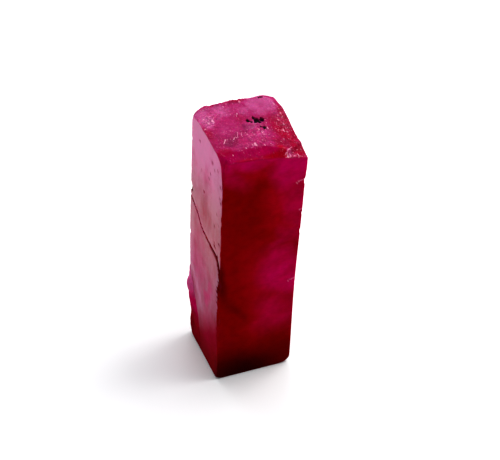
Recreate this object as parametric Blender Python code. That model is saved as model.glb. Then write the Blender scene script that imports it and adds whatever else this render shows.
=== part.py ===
"""A raw ruby crystal: one square bar, sawn on four sides and across its foot, that ends in a broken top.

The stone is a single piece, so it is a single object. Every length below is in millimetres, and the
finished mesh is scaled to Blender's metres. X runs along the front face, Y from the front face to the back,
Z up, and the origin is at the middle of the foot.
"""

import math

import bmesh
import bpy
import numpy as np
from mathutils import Vector

MM = 0.001

# The sawn bar.
WIDTH, DEPTH, HEIGHT = 15.0, 14.8, 50.0
LEFT, RIGHT, FRONT, BACK = -WIDTH / 2, WIDTH / 2, -DEPTH / 2, DEPTH / 2
GRID = 0.26  # spacing of the lattice that the top and the natural skin are shaped on
ROW = 0.8  # spacing of its rows up the sawn sides
FOOT_BEVEL = 0.35
TRIANGLES = 8200  # what the lattice is thinned to, before the chips and the crack are cut

# The broken top is a few cleavage planes. Each is given by three points that it passes through.
PLATEAU = ((-7.5, 0.0, 48.45), (0.0, 7.4, 50.0), (-2.9, -5.65, 47.95))
BACK_RIGHT_FALL = ((7.5, 4.2, 49.75), (7.5, 7.4, 49.6), (5.0, 7.4, 50.3))
BACK_LEFT_FALL = ((-7.5, 7.4, 48.3), (-6.0, 7.4, 49.2), (-7.5, 4.6, 49.0))
FRONT_SLOPE = ((0.0, -7.4, 46.9), (-5.0, -7.4, 47.2), (-2.9, -5.65, 47.95))
LEFT_FRONT_SLOPE = ((-7.5, -4.1, 48.1), (-7.5, -6.0, 47.0), (-6.2, -7.4, 47.2))
NEAR_CORNER = ((-7.1, -7.4, 46.4), (-7.5, -6.5, 46.4), (-7.5, -7.4, 44.2))
RIGHT_SLOPE = ((7.5, 2.4, 49.3), (7.5, -1.8, 47.5), (4.6, 1.6, 49.3))
RIGHT_FRONT_SLOPE = ((3.2, -2.4, 48.65), (7.5, -1.8, 47.5), (7.5, -4.5, 46.95))
# The right front corner broke off along a line, and left a sugary ledge.
LEDGE = ((3.3, -7.4, 46.4), (7.5, -7.4, 45.55), (7.5, -4.4, 46.7))
LEDGE_LINE = ((3.1, -7.4), (7.5, -4.4))
ROUNDING = 0.14  # how softly the cleavage planes pass into one another
CORNER_RADIUS = 1.3  # of the left front edge where it reaches the top, from next to nothing 5 mm lower

# Relief on the broken top: (size of a grain, its relief), large to small.
GRAINS = ((3.4, 0.15), (1.15, 0.13), (0.55, 0.07))
SMOOTH_SHARE = 0.3  # how much of that relief the smooth front slopes show
FURROW = ((0.3, 1.6), (-2.0, -1.3), (-5.2, -3.6))
FURROW_DEPTH, FURROW_WIDTH = 0.34, 0.6
# Pits where dark grains fell out of the top: (x, y, radius, depth).
PITS = (
    (0.2, 1.9, 0.38, 0.4),
    (1.1, 1.65, 0.45, 0.5),
    (2.0, 1.45, 0.6, 0.65),
    (2.8, 1.7, 0.38, 0.4),
    (2.2, -0.95, 0.36, 0.4),
    (5.2, 7.2, 0.5, 0.4),
    (-5.5, 3.0, 0.7, 0.25),
)

# The crack across the left face: (y, z) along it, falling from the back edge to the near edge.
CRACK = (
    (7.6, 32.75), (6.4, 32.1), (5.05, 31.45), (3.7, 30.75), (2.9, 30.0), (2.1, 29.3), (1.0, 28.7),
    (-0.3, 28.35), (-1.6, 28.1), (-2.6, 27.85), (-3.6, 27.55), (-4.85, 27.45), (-5.85, 27.2),
    (-6.35, 26.7), (-6.7, 25.9), (-7.1, 25.2), (-7.9, 24.6),
)
CRACK_WIDTH, CRACK_DEPTH = 0.34, 0.6

# The natural skin that the saw missed, round the back left edge near the foot.
SKIN_TOP = 17.2
# Its outline: (z, y) on the left face and (z, x) on the back face.
SKIN_EDGE = ((0.0, 0.5), (4.0, 1.5), (8.0, 2.8), (12.5, 4.5), (15.2, 5.8), (17.2, 7.4))
SKIN_BACK = ((0.0, 3.2), (7.0, 1.4), (12.0, -1.5), (16.0, -4.8), (17.2, -7.5))
SKIN_RECESS = 0.22
SWELL_HEIGHT, SWELL_REACH, SWELL_OUT = 12.6, 4.2, 0.62
SKIN_GRAINS = ((2.6, 0.26), (0.9, 0.1))

# The saw wandered into the right face.
WANDER_HEIGHT, WANDER_REACH, WANDER_DEPTH = 19.5, 13.0, 0.32
# Below the crack the near edge is worn to a slant, this wide on the front and on the left face.
WEAR_FRONT, WEAR_LEFT = 0.2, 0.5
WEAR_GRAIN = 1.9  # length of its uneven stretches

# Shell-shaped chips on the edges: (side along X, side along Y, z, radius of the scar, bite).
EDGE_CHIPS = (
    (-1, -1, 42.6, 0.9, 0.20),
    (-1, -1, 33.2, 0.7, 0.14),
    (-1, -1, 22.2, 1.3, 0.34),
    (-1, -1, 14.2, 1.5, 0.34),
    (-1, -1, 0.1, 1.3, 0.75),
    (1, -1, 41.1, 0.8, 0.30),
    (1, -1, 34.6, 0.6, 0.16),
    (1, -1, 30.9, 0.8, 0.28),
    (1, -1, 19.8, 1.4, 0.24),
    (1, -1, 0.0, 1.7, 1.15),
    (-1, 1, 34.3, 1.0, 0.42),
    (-1, 1, 44.0, 0.7, 0.18),
    (-1, 1, 24.5, 0.8, 0.20),
    (1, 1, 38.0, 1.6, 0.50),
    (1, 1, 22.5, 1.0, 0.30),
    (1, 1, 9.0, 1.9, 0.60),
    (1, 1, 0.0, 1.6, 0.90),
)
# Chips along the rim of the broken top: (x, y, z, radius of the scar).
RIM_CHIPS = (
    (-3.1, 7.9, 50.1, 0.75),
    (0.9, 8.1, 50.6, 0.8),
    (8.1, 1.2, 49.4, 0.85),
    (8.2, -3.4, 47.7, 0.9),
    (0.3, -8.0, 47.5, 0.75),
    (-8.1, 1.6, 49.1, 0.75),
)


def new_object(name, mesh):
    """Puts a mesh in the scene as an object of that name."""
    obj = bpy.data.objects.new(name, mesh)
    bpy.context.scene.collection.objects.link(obj)
    return obj


def bmesh_to_object(bm, name):
    mesh = bpy.data.meshes.new(name)
    bm.to_mesh(mesh)
    bm.free()
    return new_object(name, mesh)


def plane_height(points, x, y):
    """Height at (x, y) of the plane through three points."""
    (x0, y0, z0), *others = points
    (ax, ay, az), (bx, by, bz) = [(px - x0, py - y0, pz - z0) for px, py, pz in others]
    turn = ax * by - ay * bx
    slope_x = (az * by - ay * bz) / turn
    slope_y = (ax * bz - az * bx) / turn
    return z0 + slope_x * (x - x0) + slope_y * (y - y0)


def ease(value, low, high):
    """0 at low, 1 at high, with a smooth passage between."""
    t = np.clip((value - low) / (high - low), 0.0, 1.0)
    return t * t * (3.0 - 2.0 * t)


def scatter(value):
    """A number from 0 to 1 that looks random but is always the same for the same value."""
    return np.modf(np.abs(np.sin(value)) * 43758.5453)[0]


def grain_relief(u, v, size, seed):
    """Packed, tilted, slightly domed grains of about that size on a plane: relief from -1 to 1."""
    cell_u, cell_v = np.floor(u / size), np.floor(v / size)
    best = np.full(np.shape(u), -9.0)
    for du in (-1, 0, 1):
        for dv in (-1, 0, 1):
            cu, cv = cell_u + du, cell_v + dv
            cell = cu * 127.1 + cv * 311.7 + seed
            off_u = u / size - cu - scatter(cell)
            off_v = v / size - cv - scatter(cell + 74.7)
            tilt = (scatter(cell + 224.1) - 0.5) * off_u + (scatter(cell + 298.8) - 0.5) * off_v
            grain = 1.6 * scatter(cell + 149.4) - 0.8 + 1.5 * tilt
            best = np.maximum(best, grain - 1.3 * (off_u**2 + off_v**2))
    return best


def distance_to_path(u, v, path):
    """Distance from each (u, v) to a path of straight stretches."""
    nearest = np.full(np.shape(u), 1e9)
    for (u0, v0), (u1, v1) in zip(path, path[1:]):
        run_u, run_v = u1 - u0, v1 - v0
        t = np.clip(((u - u0) * run_u + (v - v0) * run_v) / (run_u**2 + run_v**2), 0.0, 1.0)
        nearest = np.minimum(nearest, np.hypot(u - u0 - t * run_u, v - v0 - t * run_v))
    return nearest


def lowest(heights, softness):
    """The lowest of several heights, passing softly from one to the next."""
    return -softness * np.logaddexp.reduce([-height / softness for height in heights])


def broken_top(x, y):
    """Height of the broken top at (x, y)."""
    right_side = np.maximum(plane_height(RIGHT_SLOPE, x, y), plane_height(RIGHT_FRONT_SLOPE, x, y))
    rough = [plane_height(p, x, y) for p in (PLATEAU, BACK_RIGHT_FALL, BACK_LEFT_FALL)]
    rough = lowest([*rough, right_side], ROUNDING)
    smooth = [plane_height(p, x, y) for p in (FRONT_SLOPE, LEFT_FRONT_SLOPE, NEAR_CORNER)]
    smooth = lowest(smooth, 2.0 * ROUNDING)
    height = lowest([rough, smooth], ROUNDING)
    (x0, y0), (x1, y1) = LEDGE_LINE
    beyond = ((x - x0) * (y1 - y0) - (y - y0) * (x1 - x0)) / math.hypot(x1 - x0, y1 - y0)
    on_ledge = ease(beyond, 0.0, 0.5)
    height = height + on_ledge * (plane_height(LEDGE, x, y) - height)
    share = np.maximum(on_ledge, SMOOTH_SHARE + (1.0 - SMOOTH_SHARE) * ease(smooth - rough, -0.1, 0.2))
    for order, (size, relief) in enumerate(GRAINS):
        height = height + share * relief * (grain_relief(x, y, size, 10.0 * order) - 0.3)
    height = height - FURROW_DEPTH * np.exp(-((distance_to_path(x, y, FURROW) / FURROW_WIDTH) ** 2))
    for pit_x, pit_y, radius, depth in PITS:
        height = height - depth * np.exp(-(((x - pit_x) ** 2 + (y - pit_y) ** 2) / radius**2) ** 2)
    return height


def wear_near_edge(x, y, z):
    """Slants the left front edge below the crack."""
    uneven = 1.0 + 0.35 * grain_relief(z, 0.0 * z, WEAR_GRAIN, 5.0)
    share = ease(CRACK[-1][1] + 0.6 - z, 0.0, 0.8) * uneven
    over = np.maximum(share - (x - LEFT) / WEAR_FRONT - (y - FRONT) / WEAR_LEFT, 0.0) / 2.0
    return x + over * WEAR_FRONT, y + over * WEAR_LEFT


def round_near_edge(x, y, radius):
    """Draws the square corner at the left front edge in to a round one of that radius."""
    in_x = np.minimum(x - LEFT - radius, 0.0)
    in_y = np.minimum(y - FRONT - radius, 0.0)
    both = (in_x < 0.0) & (in_y < 0.0)
    reach = np.hypot(in_x, in_y)
    share = np.where(both, np.maximum(-in_x, -in_y) / np.where(both, reach, 1.0), 1.0)
    moved_x = np.where(both, LEFT + radius + in_x * share, x)
    moved_y = np.where(both, FRONT + radius + in_y * share, y)
    return moved_x, moved_y


def skin_out(across, height, edge, seed):
    """How far the natural skin stands out of a sawn face.

    across grows towards the skin, and edge gives where it starts at each height.
    """
    start = np.interp(height, [z for z, _ in edge], [a for _, a in edge])
    inside = ease(across - start, 0.0, 0.5) * ease(SKIN_TOP - height, 0.0, 0.6)
    swell = np.exp(-(((height - SWELL_HEIGHT) / SWELL_REACH) ** 2))
    out = SWELL_OUT * swell * ease(across - start, 0.3, 4.0) - SKIN_RECESS * (1.0 - swell)
    for order, (size, relief) in enumerate(SKIN_GRAINS):
        out = out + relief * grain_relief(across, height, size, seed + 10.0 * order)
    return inside * out


def near(distance, reach):
    """1 where the distance is nothing, down to 0 at the reach."""
    return 1.0 - ease(distance, 0.0, reach)


def shape(x, y, z):
    """Moves the plain lattice's points to the stone's own surface."""
    z = z * broken_top(x, y) / HEIGHT
    above_foot = ease(z, 0.3, 2.0)
    mirrored = [(height, -across) for height, across in SKIN_BACK]
    left_out = above_foot * skin_out(y, z, SKIN_EDGE, 3.0)
    back_out = above_foot * skin_out(-x, z, mirrored, 8.0)
    wander = WANDER_DEPTH * np.exp(-(((z - WANDER_HEIGHT) / WANDER_REACH) ** 2)) * ease(-y, BACK * -0.6, BACK)
    moved_x = x - left_out * near(x - LEFT, 2.0) - wander * near(RIGHT - x, 3.0)
    moved_y = y + back_out * near(BACK - y, 2.0)
    moved_x, moved_y = wear_near_edge(moved_x, moved_y, z)
    moved_x, moved_y = round_near_edge(moved_x, moved_y, 0.08 + (CORNER_RADIUS - 0.08) * ease(z, 41.5, 47.5))
    return moved_x, moved_y, z


def cut_positions(low, high, spacing):
    """Even positions strictly between low and high."""
    count = round((high - low) / spacing)
    return [low + (high - low) * i / count for i in range(1, count)]


def make_stone():
    """The bar as a lattice, bevelled at the foot, with its points moved to the surface of the stone."""
    bm = bmesh.new()
    bmesh.ops.create_cube(bm, size=1.0)
    bmesh.ops.scale(bm, vec=(WIDTH, DEPTH, HEIGHT), verts=bm.verts)
    bmesh.ops.translate(bm, vec=(0.0, 0.0, HEIGHT / 2), verts=bm.verts)
    foot_edges = [e for e in bm.edges if all(v.co.z < GRID for v in e.verts)]
    bmesh.ops.bevel(
        bm, geom=foot_edges, offset=FOOT_BEVEL, offset_type="OFFSET", segments=2, profile=0.5, affect="EDGES",
        material=-1,
    )
    cuts = [(Vector((1, 0, 0)), c) for c in cut_positions(LEFT, RIGHT, GRID)]
    cuts += [(Vector((0, 1, 0)), c) for c in cut_positions(FRONT, BACK, GRID)]
    cuts += [(Vector((0, 0, 1)), c) for c in cut_positions(FOOT_BEVEL, HEIGHT, ROW)]
    for normal, place in cuts:
        everything = bm.verts[:] + bm.edges[:] + bm.faces[:]
        bmesh.ops.bisect_plane(bm, geom=everything, dist=1e-5, plane_co=normal * place, plane_no=normal)
    points = np.array([v.co for v in bm.verts])
    moved = np.column_stack(shape(*points.T))
    for vertex, place in zip(bm.verts, moved):
        vertex.co = place
    stone = bmesh_to_object(bm, "ruby_crystal")
    thin = stone.modifiers.new("thin", "DECIMATE")
    lattice_triangles = sum(len(face.vertices) - 2 for face in stone.data.polygons)
    thin.ratio = TRIANGLES / lattice_triangles
    return stone


def make_chips():
    """One cutter that holds the scar of every chip, each a faceted ball."""
    scars = []
    for side_x, side_y, z, radius, bite in EDGE_CHIPS:
        out = (radius - bite) / math.sqrt(2.0)
        scars.append((side_x * (RIGHT + out), side_y * (BACK + out), z, radius))
    bm = bmesh.new()
    for x, y, z, radius in [*scars, *RIM_CHIPS]:
        bmesh.ops.create_icosphere(bm, subdivisions=2, radius=radius)
        ball = bm.verts[-42:]
        bmesh.ops.translate(bm, vec=(x, y, z), verts=ball)
    return bmesh_to_object(bm, "chip_cutter")


def crack_section(i):
    """The corners of the crack's wedge at its i-th point: two outside the left face, one inside it."""
    before, here, after = CRACK[max(i - 1, 0)], CRACK[i], CRACK[min(i + 1, len(CRACK) - 1)]
    along = Vector((0.0, after[0] - before[0], after[1] - before[1])).normalized()
    across = along.cross(Vector((1.0, 0.0, 0.0)))
    share = 1.0 - 0.45 * i / (len(CRACK) - 1)
    mouth = Vector((LEFT - CRACK_DEPTH, here[0], here[1]))
    bottom = Vector((LEFT + share * CRACK_DEPTH, here[0], here[1]))
    return [mouth + across * CRACK_WIDTH * share, mouth - across * CRACK_WIDTH * share, bottom]


def make_crack():
    """A wedge swept along the crack."""
    bm = bmesh.new()
    corners = bmesh.ops.create_circle(bm, cap_ends=True, segments=3, radius=1.0)["verts"]
    for corner, place in zip(corners, crack_section(0)):
        corner.co = place
    end = bm.faces[:]
    for i in range(1, len(CRACK)):
        grown = bmesh.ops.extrude_face_region(bm, geom=end)["geom"]
        corners = sorted(
            (v for v in grown if isinstance(v, bmesh.types.BMVert)),
            key=lambda v: [(v.co - place).length < 1e-6 for place in crack_section(i - 1)],
            reverse=True,
        )
        for corner, place in zip(corners, crack_section(i)):
            corner.co = place
        if i > 1:
            bmesh.ops.delete(bm, geom=end, context="FACES_ONLY")
        end = [f for f in grown if isinstance(f, bmesh.types.BMFace)]
    bmesh.ops.recalc_face_normals(bm, faces=bm.faces)
    return bmesh_to_object(bm, "crack_cutter")


def cut(stone, cutter):
    """Takes the cutter's shape out of the stone, and keeps the cutter as a guide."""
    cutter.hide_render = True
    cutter.display_type = "WIRE"
    boolean = stone.modifiers.new(cutter.name, "BOOLEAN")
    boolean.operation = "DIFFERENCE"
    boolean.object = cutter


def ruby_material():
    material = bpy.data.materials.new("ruby")
    material.use_nodes = True
    shader = material.node_tree.nodes["Principled BSDF"]
    shader.inputs["Base Color"].default_value = (0.26, 0.004, 0.045, 1.0)
    shader.inputs["Roughness"].default_value = 0.35
    shader.inputs["Metallic"].default_value = 0.0
    return material


def main():
    for obj in list(bpy.data.objects):
        bpy.data.objects.remove(obj)
    stone = make_stone()
    cutters = [make_crack(), make_chips()]
    for cutter in cutters:
        cut(stone, cutter)
    for obj in [stone, *cutters]:
        for vertex in obj.data.vertices:
            vertex.co *= MM
    stone.data.materials.append(ruby_material())


main()
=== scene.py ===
import math

import bmesh
import bpy
import numpy as np
from mathutils import Matrix, Vector


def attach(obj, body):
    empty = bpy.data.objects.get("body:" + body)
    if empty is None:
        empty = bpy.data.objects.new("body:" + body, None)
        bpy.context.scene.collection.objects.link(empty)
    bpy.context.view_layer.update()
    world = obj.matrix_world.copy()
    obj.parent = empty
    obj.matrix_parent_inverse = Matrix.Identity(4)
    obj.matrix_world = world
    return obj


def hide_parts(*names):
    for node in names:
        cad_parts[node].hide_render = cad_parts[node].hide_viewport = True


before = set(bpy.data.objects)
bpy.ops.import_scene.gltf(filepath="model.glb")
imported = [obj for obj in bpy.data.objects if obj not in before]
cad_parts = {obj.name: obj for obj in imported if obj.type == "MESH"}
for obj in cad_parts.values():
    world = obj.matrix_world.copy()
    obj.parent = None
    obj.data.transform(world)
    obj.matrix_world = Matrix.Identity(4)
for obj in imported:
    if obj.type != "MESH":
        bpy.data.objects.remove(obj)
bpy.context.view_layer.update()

# Lengths are in millimetres until a mesh is finished, and MM turns them into metres.
MM = 0.001

# ---------------------------------------------------------------- the sawn bar
WIDTH, DEPTH, HEIGHT = 15.0, 14.8, 50.0
LEFT, RIGHT, FRONT, BACK = -WIDTH / 2, WIDTH / 2, -DEPTH / 2, DEPTH / 2
FOOT_BEVEL = 0.35
COARSE, ROW = 0.3, 0.36  # the blank's lattice, before it is refined

# The broken top is a few cleavage planes. Each is given by three points that it passes through.
PLATEAU = ((-7.5, 0.0, 48.45), (0.0, 7.4, 50.0), (-2.9, -5.65, 47.95))
BACK_RIGHT_FALL = ((7.5, 4.2, 49.8), (7.5, 7.4, 49.6), (5.7, 7.4, 50.35))
BACK_LEFT_FALL = ((-7.5, 7.4, 48.65), (-6.4, 7.4, 49.35), (-7.5, 4.9, 49.1))
LEFT_FRONT_SLOPE = ((-7.5, -4.1, 48.1), (-7.5, -6.0, 47.0), (-6.2, -7.4, 47.2))
NEAR_CORNER = ((-7.1, -7.4, 46.4), (-7.5, -6.5, 46.4), (-7.5, -7.4, 44.2))
RIGHT_SLOPE = ((7.5, 2.4, 49.3), (7.5, -1.8, 47.5), (4.6, 1.6, 49.3))
RIGHT_FRONT_SLOPE = ((3.2, -2.4, 48.65), (7.5, -1.8, 47.5), (7.5, -4.5, 46.95))
# The right front corner broke off along a line, and left a sugary ledge.
LEDGE = ((3.3, -7.4, 46.55), (7.5, -7.4, 45.7), (7.5, -4.4, 46.75))
LEDGE_LINE = ((3.1, -7.4), (7.5, -4.4))
ROUNDING = 0.14  # how softly the planes pass into one another

# Where the plateau of the broken top ends and the slope down to the front face starts: (x, y).
FRONT_EDGE = (
    (-7.5, -3.5), (-6.9, -3.9), (-6.3, -4.2), (-5.3, -4.7), (-4.1, -5.2), (-2.3, -5.1), (0.0, -5.4),
    (1.7, -6.1), (2.5, -6.1), (3.3, -6.3),
)
# The rim where that slope meets the front face: (x, z).
FRONT_RIM = ((-7.5, 47.25), (-4.7, 47.1), (-1.8, 46.98), (0.6, 46.82), (3.2, 46.62))

# Sugar grain of the broken top: (size of a grain, relief), large to small.
GRAINS = ((3.4, 0.12), (1.15, 0.07), (0.5, 0.07), (0.28, 0.055))
# How sugary the top is, and where it is more or less so: (x, y, reach along x, reach along y, change).
SUGAR_BASE = 0.4
SUGAR_PATCHES = (
    (0.8, -2.2, 2.2, 1.6, 0.45),
    (-0.4, -4.8, 3.4, 0.9, 0.2),
    (-5.6, 3.4, 1.5, 1.5, 0.45),
    (4.2, 4.6, 2.8, 2.8, -0.3),
    (6.2, 0.2, 1.4, 4.6, 0.45),
    (-3.2, 2.0, 2.2, 1.6, -0.2),
)
# The rough back rim: how far it stands up, how far in it reaches, and where it ends along x.
CREST, CREST_REACH, CREST_END = 0.17, 0.7, 3.0
# A furrow across the plateau: (x, y) along it.
FURROW = ((-1.0, 0.3), (-2.3, -1.5), (-4.6, -3.4))
FURROW_DEPTH, FURROW_WIDTH = 0.3, 0.7
# Dark grains set in the top: (x, y, half width, half depth, depth of the pit).
DARK_GRAINS = (
    (0.4, 1.6, 0.30, 0.42, 0.2),
    (0.85, 1.1, 0.20, 0.28, 0.15),
    (1.55, 2.1, 0.20, 0.34, 0.2),
    (1.8, 1.5, 0.42, 0.6, 0.32),
    (1.45, 0.9, 0.26, 0.36, 0.25),
    (2.15, 0.95, 0.32, 0.4, 0.3),
    (2.8, 1.3, 0.40, 0.6, 0.34),
    (2.3, -0.95, 0.30, 0.34, 0.2),
    (1.85, -0.55, 0.15, 0.25, 0.12),
    (5.0, 6.95, 0.3, 0.24, 0.2),
    (4.5, 6.9, 0.16, 0.18, 0.12),
)
# Facets of the top that stand clear and catch the light: (x, y, reach).
BRIGHT_FACETS = (
    (-6.3, 3.7, 0.12), (-5.25, 3.3, 0.2), (-5.35, 2.8, 0.14), (-3.8, 4.8, 0.1), (-2.3, 6.3, 0.12),
    (-0.7, 3.8, 0.1), (-1.0, 3.3, 0.08), (-0.85, -4.8, 0.2), (2.8, -1.2, 0.15), (3.1, 0.0, 0.1),
    (5.65, -1.5, 0.2), (6.6, 2.3, 0.16), (6.4, 4.6, 0.18), (0.9, 6.6, 0.2),
    (6.4, 0.5, 0.1), (6.2, -1.8, 0.14), (4.7, -3.8, 0.1), (3.8, -4.7, 0.08), (4.3, -1.3, 0.1),
    (-5.2, -5.8, 0.09), (-5.0, -6.5, 0.07), (-0.2, -1.6, 0.1), (0.0, -2.3, 0.13), (1.5, -1.9, 0.16),
    (1.6, -2.6, 0.12), (1.2, -1.2, 0.12), (-1.0, -1.9, 0.12), (1.6, -5.6, 0.16), (0.6, -5.45, 0.1),
    (-2.6, -5.0, 0.1), (4.0, -7.1, 0.16), (4.6, -6.9, 0.14), (5.2, -7.0, 0.1), (6.0, -6.8, 0.1),
    (-6.6, 4.3, 0.16), (-6.1, 3.1, 0.14), (-7.2, 1.7, 0.14), (6.9, -6.8, 0.08),
)
# Thin bright steps in the furrow and along the front rim: their two ends and half their width.
BRIGHT_STEPS = (
    ((3.5, -7.2), (5.2, -5.9), 0.06),
    ((3.9, -7.2), (5.6, -7.1), 0.05),
    ((5.9, -7.15), (7.2, -7.0), 0.03),
    ((-2.4, -0.7), (-2.7, -1.6), 0.07),
    ((-1.7, -0.7), (-2.1, -2.1), 0.06),
    ((-3.3, -1.75), (-2.9, -1.8), 0.08),
    ((-3.3, -1.75), (-3.7, -2.2), 0.07),
    ((-5.0, -2.0), (-5.7, -3.0), 0.05),
)

# The crack across the left face: (y, z) along it.
CRACK = (
    (7.6, 32.75), (6.4, 32.1), (5.05, 31.45), (3.7, 30.75), (2.9, 30.0), (2.1, 29.3), (1.0, 28.7),
    (-0.3, 28.35), (-1.6, 28.1), (-2.6, 27.85), (-3.6, 27.55), (-4.85, 27.45), (-5.85, 27.2),
    (-6.35, 26.7), (-6.7, 25.9), (-7.1, 25.2), (-7.9, 24.6),
)
CRACK_WIDTH, CRACK_DEPTH = 0.13, 0.4
CRACK_GAPE = 1.5  # how much wider it gapes at the front, in widths

# The natural skin that the saw missed, round the back left edge near the foot. Its outline is given as
# (z, y) on the left face and (z, x) on the back face.
SKIN_TOP = 17.2
SKIN_EDGE = ((0.0, 0.5), (4.0, 1.6), (8.0, 2.9), (10.4, 4.1), (12.5, 5.4), (15.2, 6.5), (17.2, 7.4))
SKIN_BACK = (
    (0.0, 3.4), (2.2, 2.6), (4.0, 2.9), (6.5, 1.2), (8.2, 1.0), (10.4, -1.4), (12.2, -1.8), (13.6, -3.6),
    (15.0, -3.9), (16.2, -5.6), (17.2, -7.5),
)
# How far it lies under the sawn faces, and where and how far it swells out of them: height, reach, how far.
SKIN_RECESS = 0.06
SWELL_HEIGHT, SWELL_REACH, SWELL_OUT = 13.2, 4.2, 0.72
SKIN_GRAINS = ((2.6, 0.2), (1.0, 0.06))

# Where the right front edge lies in, and where the left back edge lies out: height, reach, how far.
WANDER_HEIGHT, WANDER_REACH, WANDER_DEPTH = 19.5, 13.0, 0.32
BULGE_HEIGHT, BULGE_REACH, BULGE_OUT = 25.0, 11.0, 0.18
# Where the right face flares out below the broken top: from and to this height, and how far.
FLARE_LOW, FLARE_HIGH, FLARE_OUT = 41.0, 43.5, 0.15
# Wear of the left front edge: how far it reaches on the two faces, and its grain.
WEAR_FRONT, WEAR_LEFT = 0.2, 0.75
WEAR_GRAIN = 1.9
# Radius of a sharp sawn edge, and of an edge that hardly shows.
SHARP, SHARPEST = 0.08, 0.02
# Upright edges that grow round towards the broken top: from and to this height, and the radius.
NEAR_EDGE_LOW, NEAR_EDGE_HIGH, NEAR_EDGE_RADIUS = 41.5, 47.5, 1.3
FAR_EDGE_LOW, FAR_EDGE_HIGH, FAR_EDGE_RADIUS = 47.0, 49.4, 1.05

# Chips on the upright edges: (side along X, side along Y, z, radius of the scar, bite).
EDGE_CHIPS = (
    (-1, -1, 42.6, 0.9, 0.20),
    (-1, -1, 33.2, 0.7, 0.14),
    (-1, -1, 22.2, 1.3, 0.34),
    (-1, -1, 14.2, 1.5, 0.34),
    (1, -1, 41.1, 0.8, 0.30),
    (1, -1, 34.6, 0.6, 0.16),
    (1, -1, 30.9, 0.8, 0.28),
    (1, -1, 19.8, 1.4, 0.24),
    (-1, 1, 34.5, 1.2, 0.42),
    (-1, 1, 44.0, 0.7, 0.18),
    (-1, 1, 24.5, 0.8, 0.20),
    (1, 1, 45.2, 0.7, 0.16),
    (1, 1, 38.7, 1.0, 0.28),
    (1, 1, 37.6, 1.5, 0.46),
    (1, 1, 29.4, 0.5, 0.12),
    (1, 1, 22.5, 0.9, 0.24),
    (1, 1, 21.7, 0.5, 0.14),
    (1, 1, 9.9, 1.2, 0.30),
    (1, 1, 8.4, 1.8, 0.56),
    (1, 1, 4.6, 0.6, 0.14),
)
# Corners of the foot that are worn round: (side along X, side along Y, radius at the foot, height).
FOOT_CORNERS = ((-1, -1, 2.3, 1.3), (1, -1, 3.4, 2.1), (1, 1, 2.4, 1.5), (-1, 1, 2.9, 2.7))
# Pale nicks on the front face, and a painted highlight along its rim: their two ends as (x, z), and half
# their width.
FRONT_NICKS_AND_GLINT = (
    ((6.0, 40.9), (6.5, 41.35), 0.12),
    ((6.5, 41.35), (7.6, 41.5), 0.1),
    ((5.9, 20.2), (7.5, 20.7), 0.1),
    ((6.9, 35.4), (7.5, 35.6), 0.1),
    # A painted highlight along the front rim.
    ((-1.9, 46.85), (1.5, 46.72), 0.07),
)
# Chips along the rim of the broken top: (x, y, z, radius of the scar).
RIM_CHIPS = (
    (-3.1, 7.9, 50.1, 0.75),
    (0.9, 8.1, 50.6, 0.8),
    (8.1, 5.2, 50.2, 0.85),
    (8.2, -3.4, 47.7, 0.9),
    (0.3, -8.0, 47.5, 0.75),
    (-8.1, 1.6, 49.1, 0.75),
)
# Specks plucked out of the left face by the saw, drawn out along Y: (y, z, radius).
SPECK_STRETCH, SPECK_DEPTH = 2.1, 0.12
LEFT_SPECKS = (
    (-2.7, 44.7, 0.17), (-3.8, 43.8, 0.13), (-5.4, 44.6, 0.07), (-1.9, 42.2, 0.06), (2.3, 40.4, 0.12),
    (-4.3, 33.1, 0.16), (-4.7, 29.1, 0.18), (-4.5, 29.7, 0.12), (-6.6, 30.8, 0.16), (-5.4, 36.2, 0.1),
    (0.9, 36.9, 0.1), (3.3, 45.6, 0.1), (-1.3, 40.9, 0.08), (-6.2, 27.9, 0.14), (-6.9, 39.3, 0.13),
    (-6.6, 21.2, 0.22), (-6.3, 20.3, 0.2), (-6.7, 19.2, 0.2), (-6.4, 18.0, 0.16), (-6.8, 22.8, 0.14),
    (7.3, 34.4, 0.42), (6.9, 33.8, 0.26), (-6.6, 42.2, 0.14), (-6.5, 39.9, 0.12), (-6.0, 34.4, 0.09),
)

TOUCH = 1e-4  # a point of the blank this close to a sawn plane lies on it
OFF_THE_SAW = (0.015, 0.06)  # a point moved less than the first is still sawn, more than the second isn't
# The top's colour passes into the front face over these heights, and to the right of RIM_CLEAR at once.
RIM_PASSAGE = (45.8, 46.9)
RIM_CLEAR = 2.5
SHARP_ANGLE = math.radians(24.0)  # edges that turn more than this are shaded sharp


# ---------------------------------------------------------------- forms
def ease(value, low, high):
    """0 at low, 1 at high, with a smooth passage between."""
    t = np.clip((value - low) / (high - low), 0.0, 1.0)
    return t * t * (3.0 - 2.0 * t)


def near(distance, reach):
    """1 where the distance is nothing, down to 0 at the reach."""
    return 1.0 - ease(distance, 0.0, reach)


def lowest(heights, softness):
    """The lowest of several heights, passing softly from one to the next."""
    return -softness * np.logaddexp.reduce([-height / softness for height in heights])


def plane_height(points, x, y):
    """Height at (x, y) of the plane through three points."""
    (x0, y0, z0), *others = points
    (ax, ay, az), (bx, by, bz) = [(px - x0, py - y0, pz - z0) for px, py, pz in others]
    turn = ax * by - ay * bx
    slope_x = (az * by - ay * bz) / turn
    slope_y = (ax * bz - az * bx) / turn
    return z0 + slope_x * (x - x0) + slope_y * (y - y0)


def scatter(value):
    """A number from 0 to 1 that looks random but is always the same for the same value."""
    return np.modf(np.abs(np.sin(value)) * 43758.5453)[0]


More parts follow.
